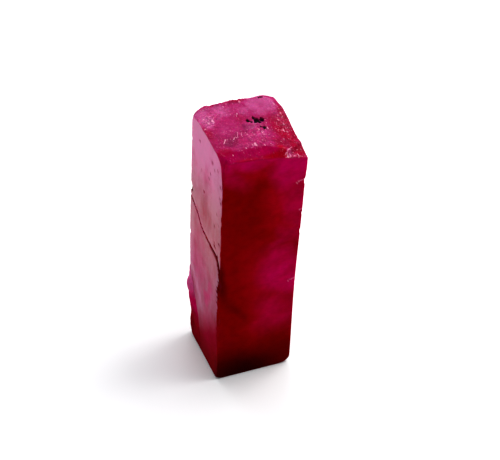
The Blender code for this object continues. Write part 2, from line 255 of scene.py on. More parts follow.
def grain_relief(u, v, size, seed):
    """Packed, tilted, slightly domed grains of about that size on a plane: relief from -1 to 1."""
    cell_u, cell_v = np.floor(u / size), np.floor(v / size)
    best = np.full(np.shape(u), -9.0)
    for du in (-1, 0, 1):
        for dv in (-1, 0, 1):
            cu, cv = cell_u + du, cell_v + dv
            cell = cu * 127.1 + cv * 311.7 + seed
            off_u = u / size - cu - scatter(cell)
            off_v = v / size - cv - scatter(cell + 74.7)
            tilt = (scatter(cell + 224.1) - 0.5) * off_u + (scatter(cell + 298.8) - 0.5) * off_v
            grain = 1.6 * scatter(cell + 149.4) - 0.8 + 1.5 * tilt
            best = np.maximum(best, grain - 1.3 * (off_u**2 + off_v**2))
    return best


def grain_along(place, size, seed):
    """The same relief met along a straight line."""
    return grain_relief(place, 0.0 * place, size, seed)


def distance_to_path(u, v, path):
    """Distance from each (u, v) to a path of straight stretches."""
    nearest = np.full(np.shape(u), 1e9)
    for (u0, v0), (u1, v1) in zip(path, path[1:]):
        run_u, run_v = u1 - u0, v1 - v0
        t = np.clip(((u - u0) * run_u + (v - v0) * run_v) / (run_u**2 + run_v**2), 0.0, 1.0)
        nearest = np.minimum(nearest, np.hypot(u - u0 - t * run_u, v - v0 - t * run_v))
    return nearest


def sugar_share(x, y):
    """How sugary the broken top is at (x, y)."""
    share = np.full(np.shape(x), SUGAR_BASE)
    for cx, cy, reach_x, reach_y, change in SUGAR_PATCHES:
        share = share + change * np.exp(-(((x - cx) / reach_x) ** 2) - ((y - cy) / reach_y) ** 2)
    return np.clip(share, 0.1, 1.0)


def dark_grains(x, y):
    """The dark grains: 1 inside one and 0 outside, with a ragged edge, and how deep it lies."""
    ragged = 0.3 * grain_relief(x, y, 0.24, 61.0)
    mask = np.zeros(np.shape(x))
    pit = np.zeros(np.shape(x))
    for gx, gy, half_x, half_y, depth in DARK_GRAINS:
        away = np.hypot((x - gx) / half_x, (y - gy) / half_y) + ragged
        inside = 1.0 - ease(away, 0.8, 1.15)
        mask = np.maximum(mask, inside)
        pit = np.maximum(pit, depth * inside)
    return mask, pit


def bright_facets(x, y):
    """How many facets catch the light round (x, y), from 0 to 1."""
    ragged = 0.5 * grain_relief(x, y, 0.35, 71.0)
    mask = np.zeros(np.shape(x))
    for fx, fy, reach in BRIGHT_FACETS:
        away = np.hypot(x - fx, (y - fy) / 1.9) / reach + ragged
        mask = np.maximum(mask, 1.0 - ease(away, 0.4, 1.4))
    for start, end, half in BRIGHT_STEPS:
        away = distance_to_path(x, y, (start, end)) / half + 1.4 * ragged
        mask = np.maximum(mask, 1.0 - ease(away, 0.6, 1.6))
    return mask


def front_fall(x, y):
    """Height of the slope from the plateau's front edge down to the front rim."""
    edge = np.interp(x, [a for a, _ in FRONT_EDGE], [b for _, b in FRONT_EDGE])
    rim = np.interp(x, [a for a, _ in FRONT_RIM], [b for _, b in FRONT_RIM])
    return rim + (plane_height(PLATEAU, x, edge) - rim) * (y - FRONT) / (edge - FRONT)


def back_crest(x, y):
    """How far the rough back rim stands up at (x, y)."""
    teeth = grain_along(x, 0.8, 91.0) + 0.5 * grain_relief(x, y, 0.3, 93.0)
    crest = near(BACK - y, CREST_REACH) * ease(CREST_END - x, 0.0, 2.0) * ease(x - LEFT, 0.5, 3.0)
    return CREST * crest * (teeth + 1.1)


def broken_top(x, y):
    """Height of the broken top at (x, y), and its masks."""
    right_side = np.maximum(plane_height(RIGHT_SLOPE, x, y), plane_height(RIGHT_FRONT_SLOPE, x, y))
    rough = [plane_height(p, x, y) for p in (PLATEAU, BACK_RIGHT_FALL, BACK_LEFT_FALL)]
    rough = lowest([*rough, right_side], ROUNDING)
    smooth = [plane_height(p, x, y) for p in (LEFT_FRONT_SLOPE, NEAR_CORNER)]
    smooth = lowest([front_fall(x, y), *smooth], ROUNDING)
    height = lowest([rough, smooth], 0.5 * ROUNDING)
    (x0, y0), (x1, y1) = LEDGE_LINE
    beyond = ((x - x0) * (y1 - y0) - (y - y0) * (x1 - x0)) / math.hypot(x1 - x0, y1 - y0)
    ragged = 0.12 * grain_relief(x, y, 0.6, 33.0)
    on_ledge = ease(beyond + ragged, 0.0, 0.3)
    height = height + on_ledge * (plane_height(LEDGE, x, y) - height)
    plateau = ease(smooth - rough + 0.08 * grain_relief(x, y, 0.5, 83.0), -0.15, 0.1)
    sugar = np.maximum(on_ledge * (1.0 - 0.6 * ease(x, 4.8, 6.4)), 0.2 + (sugar_share(x, y) - 0.2) * plateau)
    coarse_share = np.maximum(on_ledge, 0.35 + 0.65 * plateau)
    for order, (size, relief) in enumerate(GRAINS):
        share = coarse_share if size > 1.0 else sugar
        height = height + share * relief * (grain_relief(x, y, size, 10.0 * order) - 0.3)
    height = height - FURROW_DEPTH * np.exp(-((distance_to_path(x, y, FURROW) / FURROW_WIDTH) ** 2))
    height = height + back_crest(x, y)
    dark, pit = dark_grains(x, y)
    bright = bright_facets(x, y) * (1.0 - dark)
    height = height - pit + 0.05 * bright
    band = (1.0 - plateau) * (1.0 - on_ledge)
    return height, {"sugar": sugar, "dark": dark, "bright": bright, "band": band}


def skin_out(across, height, edge, seed):
    """How far the natural skin stands out of a sawn face, and how far each point is in it."""
    start = np.interp(height, [z for z, _ in edge], [a for _, a in edge])
    inside = ease(across - start, 0.0, 0.5) * ease(SKIN_TOP - height, 0.0, 0.6)
    swell = np.exp(-(((height - SWELL_HEIGHT) / SWELL_REACH) ** 2))
    out = SWELL_OUT * swell * ease(across - start, 0.0, 1.8) - SKIN_RECESS * (1.0 - swell)
    for order, (size, relief) in enumerate(SKIN_GRAINS):
        out = out + relief * grain_relief(across, height, size, seed + 10.0 * order)
    return inside * out, inside


def near_edge_wear(z):
    """How worn the left front edge is at each height: nicked above the crack, worn unevenly below it."""
    uneven = 1.0 + 0.3 * grain_along(z, WEAR_GRAIN, 5.0) + 0.25 * grain_along(z, 0.6, 15.0)
    below = ease(CRACK[-1][1] + 0.8 - z, 0.0, 1.0) * ease(z, 5.0, 12.0) * np.maximum(uneven, 0.2)
    nicks = 0.3 * np.clip(grain_along(z, 1.3, 45.0) - 0.1, 0.0, 1.0) * ease(z, 5.0, 12.0)
    return np.maximum(below, nicks)


def wear_near_edge(x, y, z):
    """Slants the left front edge below the crack."""
    over = np.maximum(near_edge_wear(z) - (x - LEFT) / WEAR_FRONT - (y - FRONT) / WEAR_LEFT, 0.0) / 2.0
    return x + over * WEAR_FRONT, y + over * WEAR_LEFT


def round_edge(x, y, side_x, side_y, radius):
    """Draws one square upright edge in to a round one of that radius."""
    in_x = np.minimum(RIGHT - side_x * x - radius, 0.0)
    in_y = np.minimum(BACK - side_y * y - radius, 0.0)
    both = (in_x < 0.0) & (in_y < 0.0)
    reach = np.where(both, np.hypot(in_x, in_y), 1.0)
    share = np.where(both, np.maximum(-in_x, -in_y) / reach, 1.0)
    moved_x = np.where(both, side_x * (RIGHT - radius - in_x * share), x)
    moved_y = np.where(both, side_y * (BACK - radius - in_y * share), y)
    return moved_x, moved_y


def foot_rounding(z, radius, height):
    """Radius of an upright edge that rounds off into the foot over a height."""
    share = np.clip(1.0 - z / height, 0.0, 1.0)
    return radius * (1.0 - np.sqrt(1.0 - share**2))


def chip_balls():
    """(centre, radius) of the ball that each chip's scar is part of."""
    balls = []
    for side_x, side_y, z, radius, bite in EDGE_CHIPS:
        out = (radius - bite) / math.sqrt(2.0)
        balls.append(((side_x * (RIGHT + out), side_y * (BACK + out), z), radius))
    for x, y, z, radius in RIM_CHIPS:
        balls.append(((x, y, z), radius))
    return balls


def off_square(x, y, z):
    """Where x really lies: the right and left faces are sawn a little off the square bar."""
    wandered = np.exp(-(((z - WANDER_HEIGHT) / WANDER_REACH) ** 2)) * ease(-y, BACK * -0.6, BACK)
    bulged = np.exp(-(((z - BULGE_HEIGHT) / BULGE_REACH) ** 2)) * ease(y, -2.0, BACK)
    flared = ease(z, FLARE_LOW, FLARE_HIGH) * ease(-y, -6.0, 0.0)
    right_out = FLARE_OUT * flared - WANDER_DEPTH * wandered
    left_out = BULGE_OUT * bulged
    return x + right_out * near(RIGHT - x, 3.0) - left_out * near(x - LEFT, 3.0)


def wear_upright_edges(x, y, z):
    """Nicks and rounds the four upright edges, and draws them in at the foot and towards the top."""
    x, y = wear_near_edge(x, y, z)
    radius = SHARP + (NEAR_EDGE_RADIUS - SHARP) * ease(z, NEAR_EDGE_LOW, NEAR_EDGE_HIGH)
    x, y = round_edge(x, y, -1, -1, radius)
    for side_x, side_y, seed in ((1, -1, 1.0), (-1, 1, 2.0), (1, 1, 3.0)):
        worn = 0.09 + 0.07 * grain_along(z, 0.9, 20.0 * seed) + 0.04 * grain_along(z, 0.4, seed)
        x, y = round_edge(x, y, side_x, side_y, np.maximum(worn, 0.03))
    x, y = round_edge(x, y, -1, 1, SHARPEST + FAR_EDGE_RADIUS * ease(z, FAR_EDGE_LOW, FAR_EDGE_HIGH))
    for side_x, side_y, radius, height in FOOT_CORNERS:
        x, y = round_edge(x, y, side_x, side_y, np.maximum(foot_rounding(z, radius, height), SHARPEST))
    return x, y


def bite_chips(moved):
    """Presses the chips' scars into the points. Gives how far each point is in one."""
    chipped = np.zeros(len(moved))
    for centre, radius in chip_balls():
        away = moved - np.array(centre)
        reach = np.linalg.norm(away, axis=1)
        ripple = 1.0 + 0.05 * grain_relief(away[:, 2], away[:, 0] - away[:, 1], 0.5, 7.0)
        inside = reach < radius * ripple
        moved[inside] = np.array(centre) + away[inside] * (radius * ripple[inside] / reach[inside])[:, None]
        chipped = np.maximum(chipped, 1.0 - ease(reach / radius, 1.0, 1.05))
    return chipped


def open_crack(moved, y, z, on_left):
    """Sinks the crack into the left face. Gives how far each point is in it."""
    uneven = np.clip(1.0 + 0.3 * grain_relief(y, z, 0.9, 27.0), 0.85, 1.3)
    width = CRACK_WIDTH * (uneven + CRACK_GAPE * (1.0 - ease(y, -7.2, 1.0)))
    groove = np.where(on_left, np.exp(-((distance_to_path(y, z, CRACK) / width) ** 2)), 0.0)
    moved[:, 0] += CRACK_DEPTH * groove
    return groove


def pluck_specks(moved, on_left):
    """Sinks the plucked specks into the left face. Gives how far each point is in one."""
    speck = np.zeros(len(moved))
    for speck_y, speck_z, radius in LEFT_SPECKS:
        reach = np.hypot((moved[:, 1] - speck_y) / SPECK_STRETCH, moved[:, 2] - speck_z)
        speck = np.maximum(speck, np.where(on_left, np.exp(-((reach / radius) ** 2)), 0.0))
    moved[:, 0] += SPECK_DEPTH * speck
    return speck


def front_nicks_and_glint(x, z):
    """How far each point of the front face is in a pale nick, and in the painted highlight along its rim."""
    nick = np.zeros(np.shape(x))
    for start, end, half in FRONT_NICKS_AND_GLINT:
        away = distance_to_path(x, z, (start, end)) / half
        nick = np.maximum(nick, 1.0 - ease(away, 0.6, 1.6))
    return nick


def shape(points):
    """Moves the blank's points to the stone's surface. Also gives the masks that its material reads."""
    x, y, z = points.T
    on_top = z > HEIGHT - TOUCH
    on_left, on_right = x < LEFT + TOUCH, x > RIGHT - TOUCH
    on_front, on_back = y < FRONT + TOUCH, y > BACK - TOUCH
    top, masks = broken_top(x, y)
    masks = {name: np.where(on_top, mask, 0.0) for name, mask in masks.items()}
    z = z * top / HEIGHT

    flat_x = off_square(x, y, z)
    above_foot = ease(z, 0.3, 2.0)
    mirrored = [(height, -across) for height, across in SKIN_BACK]
    left_out, left_skin = skin_out(y, z, SKIN_EDGE, 3.0)
    back_out, back_skin = skin_out(-x, z, mirrored, 8.0)
    moved_x = flat_x - above_foot * left_out * near(x - LEFT, 2.0)
    moved_y = y + above_foot * back_out * near(BACK - y, 2.0)
    moved_x, moved_y = wear_upright_edges(moved_x, moved_y, z)
    moved = np.column_stack([moved_x, moved_y, z])
    chipped = bite_chips(moved)
    masks["crack"] = open_crack(moved, y, z, on_left)
    # The plucked specks join the dark mask, which paints shade into them.
    masks["dark"] = np.maximum(masks["dark"], pluck_specks(moved, on_left))

    off_x, off_y = np.abs(moved[:, 0] - flat_x), np.abs(moved[:, 1] - y)
    sawn_left = np.maximum(1.0 - ease(off_x, *OFF_THE_SAW), ease(left_skin, 0.0, 0.1))
    sawn_side = 1.0 - ease(np.where(on_right, off_x, off_y), *OFF_THE_SAW)
    sawn_side = np.maximum(sawn_side, ease(back_skin, 0.0, 0.1))
    worn = near_edge_wear(z) * WEAR_LEFT * (1.0 + 0.3 * grain_relief(z, y, 0.35, 19.0))
    unworn = np.where(worn > 0.02, ease(y - FRONT - worn, -0.08, 0.1), 1.0)
    on_sides = (on_right | on_back) & ~on_top & ~on_left & ~on_front
    soft_rim = ease(z - 0.7 * near(x - LEFT, 3.0), *RIM_PASSAGE)
    masks["top"] = np.where(on_top, np.where(x > RIM_CLEAR, 1.0, soft_rim), 0.0)
    masks["nick"] = np.where(on_front & ~on_top, front_nicks_and_glint(x, z), 0.0)
    masks["left"] = np.where(on_left & ~on_top, sawn_left * unworn * (1.0 - left_skin), 0.0)
    masks["side"] = np.where(on_sides, sawn_side * (1.0 - back_skin), 0.0)
    masks["chip"] = np.where(on_top, 0.0, chipped * ease(z, 3.0, 6.0))
    masks["skin"] = np.maximum(np.where(on_left, left_skin, 0.0), np.where(on_back, back_skin, 0.0))
    return moved, masks


# ---------------------------------------------------------------- mesh
def cut_positions(low, high, spacing):
    """Even positions strictly between low and high."""
    count = round((high - low) / spacing)
    return [low + (high - low) * i / count for i in range(1, count)]


def refine(bm, wanted, cuts):
    """Divides the faces whose middle is wanted, in the same order each time."""
    edges = [edge for face in bm.faces if wanted(face.calc_center_median()) for edge in face.edges]
    bmesh.ops.subdivide_edges(bm, edges=list(dict.fromkeys(edges)), cuts=cuts, use_grid_fill=True)


def by_upright_edge(point):
    """Whether a point of the blank is close to one of its upright edges."""
    from_x = min(point.x - LEFT, RIGHT - point.x)
    from_y = min(point.y - FRONT, BACK - point.y)
    return point.z < HEIGHT - 0.01 and max(from_x, from_y) < 1.0


def in_skin(point):
    """Whether a point of the blank is where the natural skin can be."""
    on_left = point.x < LEFT + 0.01 and point.y > 0.2
    on_back = point.y > BACK - 0.01 and point.x < 3.6
    return point.z < SKIN_TOP + 0.5 and (on_left or on_back)


def by_crack(point):
    """Whether a point of the blank is close to the crack."""
    if point.x > LEFT + 0.01 or not 23.0 < point.z < 34.0:
        return False
    return float(distance_to_path(np.array(point.y), np.array(point.z), CRACK)) < 0.35


def on_top(point):
    """Whether a point of the blank is on its top."""
    return point.z > HEIGHT - 0.01


def on_soft_rim(edge):
    """Whether a finished edge is on the front rim's left part, which passes softly into the front face."""
    a, b = (vertex.co / MM for vertex in edge.verts)
    return max(a.x, b.x) < -0.8 and max(a.y, b.y) < FRONT + 0.3 and min(a.z, b.z) > 45.5


def make_blank():
    """The sawn bar as a lattice, fine where the stone has detail."""
    bm = bmesh.new()
    bmesh.ops.create_cube(bm, size=1.0)
    bmesh.ops.scale(bm, vec=(WIDTH, DEPTH, HEIGHT), verts=bm.verts)
    bmesh.ops.translate(bm, vec=(0.0, 0.0, HEIGHT / 2), verts=bm.verts)
    foot_edges = [e for e in bm.edges if all(v.co.z < 0.01 for v in e.verts)]
    bmesh.ops.bevel(
        bm, geom=foot_edges, offset=FOOT_BEVEL, offset_type="OFFSET", segments=2, profile=0.5, affect="EDGES",
        material=-1,
    )
    cuts = [(Vector((1, 0, 0)), c) for c in cut_positions(LEFT, RIGHT, COARSE)]
    cuts += [(Vector((0, 1, 0)), c) for c in cut_positions(FRONT, BACK, COARSE)]
    cuts += [(Vector((0, 0, 1)), c) for c in cut_positions(FOOT_BEVEL, HEIGHT, ROW)]
    for normal, place in cuts:
        everything = bm.verts[:] + bm.edges[:] + bm.faces[:]
        bmesh.ops.bisect_plane(bm, geom=everything, dist=1e-5, plane_co=normal * place, plane_no=normal)
    refine(bm, on_top, 2)
    refine(bm, lambda point: by_upright_edge(point) or in_skin(point), 1)
    refine(bm, by_crack, 3)
    return bm


def make_stone():
    """The whole ruby, with its masks as attributes."""
    bm = make_blank()
    points = np.array([v.co for v in bm.verts])
    moved, masks = shape(points)
    for vertex, place in zip(bm.verts, moved):
        vertex.co = place * MM
    for face in bm.faces:
        face.smooth = True
    bmesh.ops.triangulate(bm, faces=[face for face in bm.faces if len(face.verts) > 4])
    for edge in bm.edges:
        edge.smooth = edge.calc_face_angle(0.0) < SHARP_ANGLE or on_soft_rim(edge)
    mesh = bpy.data.meshes.new("ruby")
    bm.to_mesh(mesh)
    bm.free()
    for name, mask in masks.items():
        attribute = mesh.attributes.new(name, "FLOAT", "POINT")
        attribute.data.foreach_set("value", mask.astype(np.float32))
    stone = bpy.data.objects.new("ruby", mesh)
    bpy.context.scene.collection.objects.link(stone)
    return stone


# ---------------------------------------------------------------- material
# The stone's colours, in linear light.
SCARLET = (0.22, 0.0, 0.0)
CRIMSON = (0.36, 0.0, 0.016)
MAGENTA = (0.47, 0.0004, 0.10)
# Dark wine red: dark streaks inside the stone, and painted shade towards its foot.
WINE = (0.030, 0.0, 0.0)
TOP_RED = (0.31, 0.002, 0.028)
TOP_MAGENTA = (0.325, 0.0, 0.072)
TOP_SCARLET = (0.365, 0.0, 0.012)
TOP_CERISE_GLOW = (0.43, 0.0, 0.088)
TOP_DUSK = (0.34, 0.022, 0.112)
TOP_ROSE = (0.38, 0.032, 0.145)
TOP_PINK = (0.45, 0.088, 0.235)
TOP_PURPLE_SHADE = (0.19, 0.020, 0.075)
# Pale frost of the sawn faces; on the left face it also holds a painted sheen, the white table's reflection.
FROST_SHEEN_TOP = (0.79, 0.26, 0.53)
FROST_SHEEN_MIDDLE = (0.61, 0.215, 0.31)
FROST_SHEEN_LOW = (0.56, 0.145, 0.35)
SKIN_PINK = (0.68, 0.130, 0.34)
SKIN_MAGENTA = (0.48, 0.001, 0.095)
SKIN_RED = (0.37, 0.0, 0.022)
NICK_AND_GLINT = (0.62, 0.16, 0.26)
GLINT = (0.80, 0.34, 0.48)
# Painted shade in the crack and in the plucked specks.
CLEFT_SHADE = (0.06, 0.0, 0.003)
BLACK = (0.010, 0.004, 0.008)

# Cloudy zones in the stone, with painted glow and painted shade among them: (centre, reach, turn in degrees,
# softness, strength).
MAGENTA_ZONES = (
    ((0.0, -7.4, 47.6), (9.0, 6.0, 2.4), (0, 0, 0), 0.5, 0.9),
    ((-6.6, -7.4, 46.8), (2.4, 5.0, 2.6), (0, 0, 0), 0.5, 0.9),
    ((-5.0, -7.4, 43.6), (1.5, 4.0, 2.2), (0, 35, 0), 0.8, 0.45),
    # The next six, on the right of the front face, are painted glow: light from the right that comes through
    # the stone.
    ((5.4, -7.4, 44.4), (3.7, 5.0, 4.0), (0, -20, 0), 0.6, 1.0),
    ((6.6, -7.4, 37.5), (1.9, 5.0, 6.5), (0, 10, 0), 0.8, 0.5),
    ((5.8, -7.4, 31.0), (2.6, 5.0, 2.2), (0, 24, 0), 0.8, 0.45),
    ((3.8, -7.4, 28.9), (3.4, 5.0, 1.0), (0, 24, 0), 0.8, 0.4),
    ((5.3, -7.4, 22.4), (4.4, 6.0, 5.8), (0, 35, 0), 0.5, 0.72),
    ((4.0, -7.4, 13.6), (3.9, 5.0, 5.0), (0, 15, 0), 0.6, 0.38),
    ((-7.5, 2.5, 45.0), (4.0, 6.5, 7.0), (0, 0, 0), 0.7, 0.95),
    ((-7.5, 3.6, 22.5), (4.0, 3.4, 8.0), (0, 0, 0), 0.6, 0.6),
    ((-7.5, -2.4, 16.5), (2.0, 1.6, 3.4), (0, 0, 0), 0.6, 0.8),
    ((-7.5, -2.0, 9.0), (4.0, 4.0, 5.0), (0, 0, 0), 0.7, 0.2),
    ((7.5, 3.0, 33.0), (4.0, 4.5, 9.0), (25, 0, 0), 0.6, 0.7),
    ((7.5, 2.0, 12.0), (3.0, 3.5, 5.0), (-20, 0, 0), 0.6, 0.6),
    ((2.0, 7.4, 18.0), (4.5, 4.0, 9.0), (0, -30, 0), 0.6, 0.8),
    ((-3.0, 7.4, 38.0), (3.5, 4.0, 6.0), (0, 20, 0), 0.6, 0.6),
)
CRIMSON_ZONES = (
    ((2.0, -7.4, 44.6), (6.5, 5.0, 2.4), (0, 0, 0), 0.6, 0.8),
    ((4.4, -7.4, 37.0), (3.6, 5.0, 6.6), (0, 15, 0), 0.7, 0.8),
    ((3.2, -7.4, 35.2), (3.8, 5.0, 1.2), (0, 24, 0), 0.8, 0.6),
    ((1.6, -7.4, 29.6), (3.4, 5.0, 1.6), (0, 24, 0), 0.8, 0.5),
    ((1.8, -7.4, 40.2), (2.6, 5.0, 1.2), (0, 24, 0), 0.9, 0.35),
    ((1.6, -7.4, 21.5), (5.0, 5.0, 8.0), (0, 20, 0), 0.6, 0.6),
    ((0.9, -7.4, 13.6), (3.6, 5.0, 4.6), (0, 0, 0), 0.7, 0.5),
    ((-7.5, -1.0, 30.0), (4.0, 5.0, 12.0), (0, 0, 0), 0.8, 0.6),
    ((7.5, -2.0, 15.0), (4.0, 5.0, 12.0), (0, 0, 0), 0.8, 0.5),
    ((0.0, 7.4, 28.0), (5.0, 4.0, 16.0), (0, 0, 0), 0.8, 0.5),
)
DARK_ZONES = (
    ((-7.1, -7.4, 23.2), (0.7, 2.0, 4.4), (0, 8, 0), 0.9, 0.6),
    ((-4.6, -7.4, 16.4), (0.6, 3.0, 4.0), (0, 40, 0), 0.9, 0.3),
    # Painted shade along the front face's foot.
    ((-2.6, -7.4, -0.1), (6.0, 1.6, 4.6), (0, -11, 0), 0.75, 0.9),
)
# Zones of the broken top, given the same way: pink, red, scarlet and painted cerise glow in its front band,
# and purple painted shade.
PINK_ZONES = (
    ((3.9, 5.0, 49.5), (2.8, 3.1, 9.0), (0, 0, 0), 0.5, 1.0),
    ((-4.0, 5.4, 49.5), (3.8, 2.2, 9.0), (0, 0, 20), 0.6, 0.9),
    ((-6.2, 3.6, 49.5), (1.6, 2.0, 9.0), (0, 0, 0), 0.6, 1.0),
    ((0.6, 4.6, 49.5), (2.4, 2.0, 9.0), (0, 0, 0), 0.7, 0.7),
    ((-3.4, 0.4, 49.0), (2.4, 2.4, 9.0), (0, 0, 0), 0.6, 0.5),
    ((-6.8, 6.2, 49.0), (2.0, 1.8, 9.0), (0, 0, 0), 0.6, 1.0),
    ((0.6, -2.2, 49.0), (2.5, 1.9, 9.0), (0, 0, 0), 0.5, 0.6),
    ((0.5, 0.4, 49.0), (1.9, 1.5, 9.0), (0, 0, 0), 0.7, 0.75),
    ((-1.2, -4.5, 49.0), (3.8, 1.0, 9.0), (0, 0, 0), 0.5, 0.45),
    ((4.5, -6.6, 46.5), (1.3, 0.8, 9.0), (0, 0, 0), 0.5, 0.8),
)
RED_ZONES = (
    ((5.6, -3.0, 48.0), (1.8, 4.6, 9.0), (0, 0, -12), 0.6, 0.85),
    ((3.8, 2.0, 49.0), (1.3, 1.1, 9.0), (0, 0, 0), 0.7, 0.3),
    ((6.9, 1.4, 49.0), (0.8, 3.4, 9.0), (0, 0, 0), 0.7, 0.7),
    ((7.4, -2.4, 48.0), (0.9, 2.6, 9.0), (0, 0, 0), 0.7, 0.8),
    ((-0.6, 2.8, 49.0), (0.9, 1.2, 9.0), (0, 0, 0), 0.8, 0.2),
    ((-6.9, 0.6, 49.0), (0.6, 1.8, 9.0), (0, 0, 0), 0.7, 0.5),
    ((-3.4, 7.3, 49.0), (3.4, 0.35, 9.0), (0, 0, 0), 0.7, 0.3),
    ((0.8, 7.2, 50.0), (1.4, 0.5, 9.0), (0, 0, 0), 0.7, 0.6),
    ((4.0, -5.0, 47.8), (1.2, 1.4, 9.0), (0, 0, 0), 0.7, 0.8),
    ((6.9, -6.0, 46.5), (1.3, 1.6, 9.0), (0, 0, 0), 0.7, 0.9),
    ((-6.2, -5.1, 47.5), (1.3, 0.8, 9.0), (0, 0, 0), 0.6, 0.5),
)
BAND_ZONES = (
    ((1.9, -7.2, 47.0), (2.4, 0.6, 9.0), (0, 0, 0), 0.6, 0.85),
    ((3.1, -6.6, 47.3), (0.9, 1.1, 9.0), (0, 0, 0), 0.6, 0.8),
    ((-3.0, -7.4, 47.0), (2.0, 0.5, 9.0), (0, 0, 0), 0.6, 0.5),
)
CERISE_GLOW_ZONES = (
    ((1.1, -6.2, 47.6), (2.3, 0.6, 9.0), (0, 0, -4), 0.5, 0.85),
)
# Purple painted shade in the furrow and on the slope down to the ledge.
PURPLE_SHADE_ZONES = (
    ((-4.3, -2.9, 48.2), (1.5, 0.8, 9.0), (0, 0, -45), 0.6, 0.55),
    ((-2.9, -1.7, 48.5), (0.9, 0.4, 9.0), (0, 0, -60), 0.7, 0.55),
    ((-0.3, -0.1, 49.0), (1.5, 0.9, 9.0), (0, 0, 0), 0.7, 0.3),
    ((4.3, -4.8, 47.8), (1.6, 0.9, 9.0), (0, 0, -30), 0.6, 0.35),
)
# Where the frost and painted sheen of the left face are thin, and where they are thick, given the same way.
THIN_FROST_SHEEN_ZONES = (
    ((-7.5, 3.4, 23.0), (3.0, 3.6, 6.0), (0, 0, 0), 0.6, 0.25),
    ((-7.5, 0.3, 33.0), (3.0, 1.6, 2.8), (0, 0, 0), 0.7, 0.28),
    ((-7.5, -0.3, 38.0), (3.0, 0.9, 4.4), (0, 0, 0), 0.8, 0.3),
    ((-7.5, -2.4, 16.5), (3.0, 1.4, 3.4), (0, 0, 0), 0.7, 0.4),
    ((-7.5, -1.6, 31.8), (3.0, 1.0, 1.8), (0, 0, 0), 0.8, 0.3),
)
THICK_FROST_SHEEN_ZONES = (
    ((-7.5, 4.4, 15.2), (3.0, 0.9, 3.6), (38, 0, 0), 0.9, 0.5),
    ((-7.5, 3.8, 46.4), (3.0, 4.4, 3.4), (0, 0, 0), 0.6, 0.62),
    ((-7.5, -4.5, 38.0), (3.0, 1.6, 11.0), (0, 0, 0), 0.7, 0.15),
    ((-7.5, 7.2, 26.0), (3.0, 1.6, 9.0), (0, 0, 0), 0.7, 0.7),
)


def add_node(tree, kind, **settings):
    """A new node with its settings and, by socket name, its input values."""
    node = tree.nodes.new(kind)
    for name, value in settings.items():
        if hasattr(node, name):
            setattr(node, name, value)
        else:
            node.inputs[name.replace("_", " ")].default_value = value
    return node


def feed(tree, socket, value):
    """Gives a socket a link, a colour or a number."""
    if isinstance(value, bpy.types.NodeSocket):
        tree.links.new(value, socket)
    elif isinstance(value, tuple) and len(socket.default_value) == 4:
        socket.default_value = (*value, 1.0)
    else:
        socket.default_value = value


def blend(tree, share, low, high):
    """A colour that passes from low to high."""
    mix = add_node(tree, "ShaderNodeMix", data_type="RGBA")
    feed(tree, mix.inputs[0], share)
    feed(tree, mix.inputs[6], low)
    feed(tree, mix.inputs[7], high)
    return mix.outputs[2]


def reckon(tree, operation, first, second, clamp=False):
    """A Math node on two sockets or numbers."""
    node = add_node(tree, "ShaderNodeMath", operation=operation, use_clamp=clamp)
    feed(tree, node.inputs[0], first)
    feed(tree, node.inputs[1], second)
    return node.outputs[0]


def multiply(tree, first, *others):
    """Several sockets or numbers multiplied together."""
    for other in others:
        first = reckon(tree, "MULTIPLY", first, other)
    return first


def directions(tree, vector):
    """A place's X, Y and Z."""
    split = add_node(tree, "ShaderNodeSeparateXYZ")
    feed(tree, split.inputs[0], vector)
    return split.outputs


def remap(tree, value, low, high, to_low=0.0, to_high=1.0):
    """Passes smoothly from to_low at low to to_high at high."""
    node = add_node(tree, "ShaderNodeMapRange", interpolation_type="SMOOTHSTEP")
    feed(tree, node.inputs["Value"], value)
    for name, number in (("From Min", low), ("From Max", high), ("To Min", to_low), ("To Max", to_high)):
        node.inputs[name].default_value = number
    return node.outputs["Result"]


def stretch(tree, vector, factors):
    """The same place with each direction multiplied, for a pattern that runs one way."""
    node = add_node(tree, "ShaderNodeVectorMath", operation="MULTIPLY")
    feed(tree, node.inputs[0], vector)
    node.inputs[1].default_value = factors
    return node.outputs[0]


def turned(tree, vector, angles):
    """The same place turned by angles in degrees, for a pattern that runs aslant."""
    node = add_node(tree, "ShaderNodeMapping", vector_type="POINT")
    node.inputs["Rotation"].default_value = [math.radians(a) for a in angles]
    feed(tree, node.inputs["Vector"], vector)
    return node.outputs[0]


def noise(tree, vector, per_mm, detail, roughness, distortion=0.0):
    """Noise with about that many lumps to a millimetre."""
    node = add_node(tree, "ShaderNodeTexNoise", Scale=per_mm / MM, Detail=detail, Roughness=roughness)
    node.inputs["Distortion"].default_value = distortion
    feed(tree, node.inputs["Vector"], vector)
    return node


def uneven(tree, vector, per_mm, detail, roughness, low, high, spread=0.2, distortion=0.0):
    """A number that noise takes from low to high. A smaller spread gives it more contrast."""
    value = noise(tree, vector, per_mm, detail, roughness, distortion).outputs["Fac"]
    return remap(tree, value, 0.5 - spread, 0.5 + spread, low, high)


def cells(tree, vector, per_mm):
    """A random number for each of many small packed cells."""
    node = add_node(tree, "ShaderNodeTexVoronoi", Scale=per_mm / MM)
    feed(tree, node.inputs["Vector"], vector)
    split = add_node(tree, "ShaderNodeSeparateColor")
    feed(tree, split.inputs[0], node.outputs["Color"])
    return split.outputs[0]


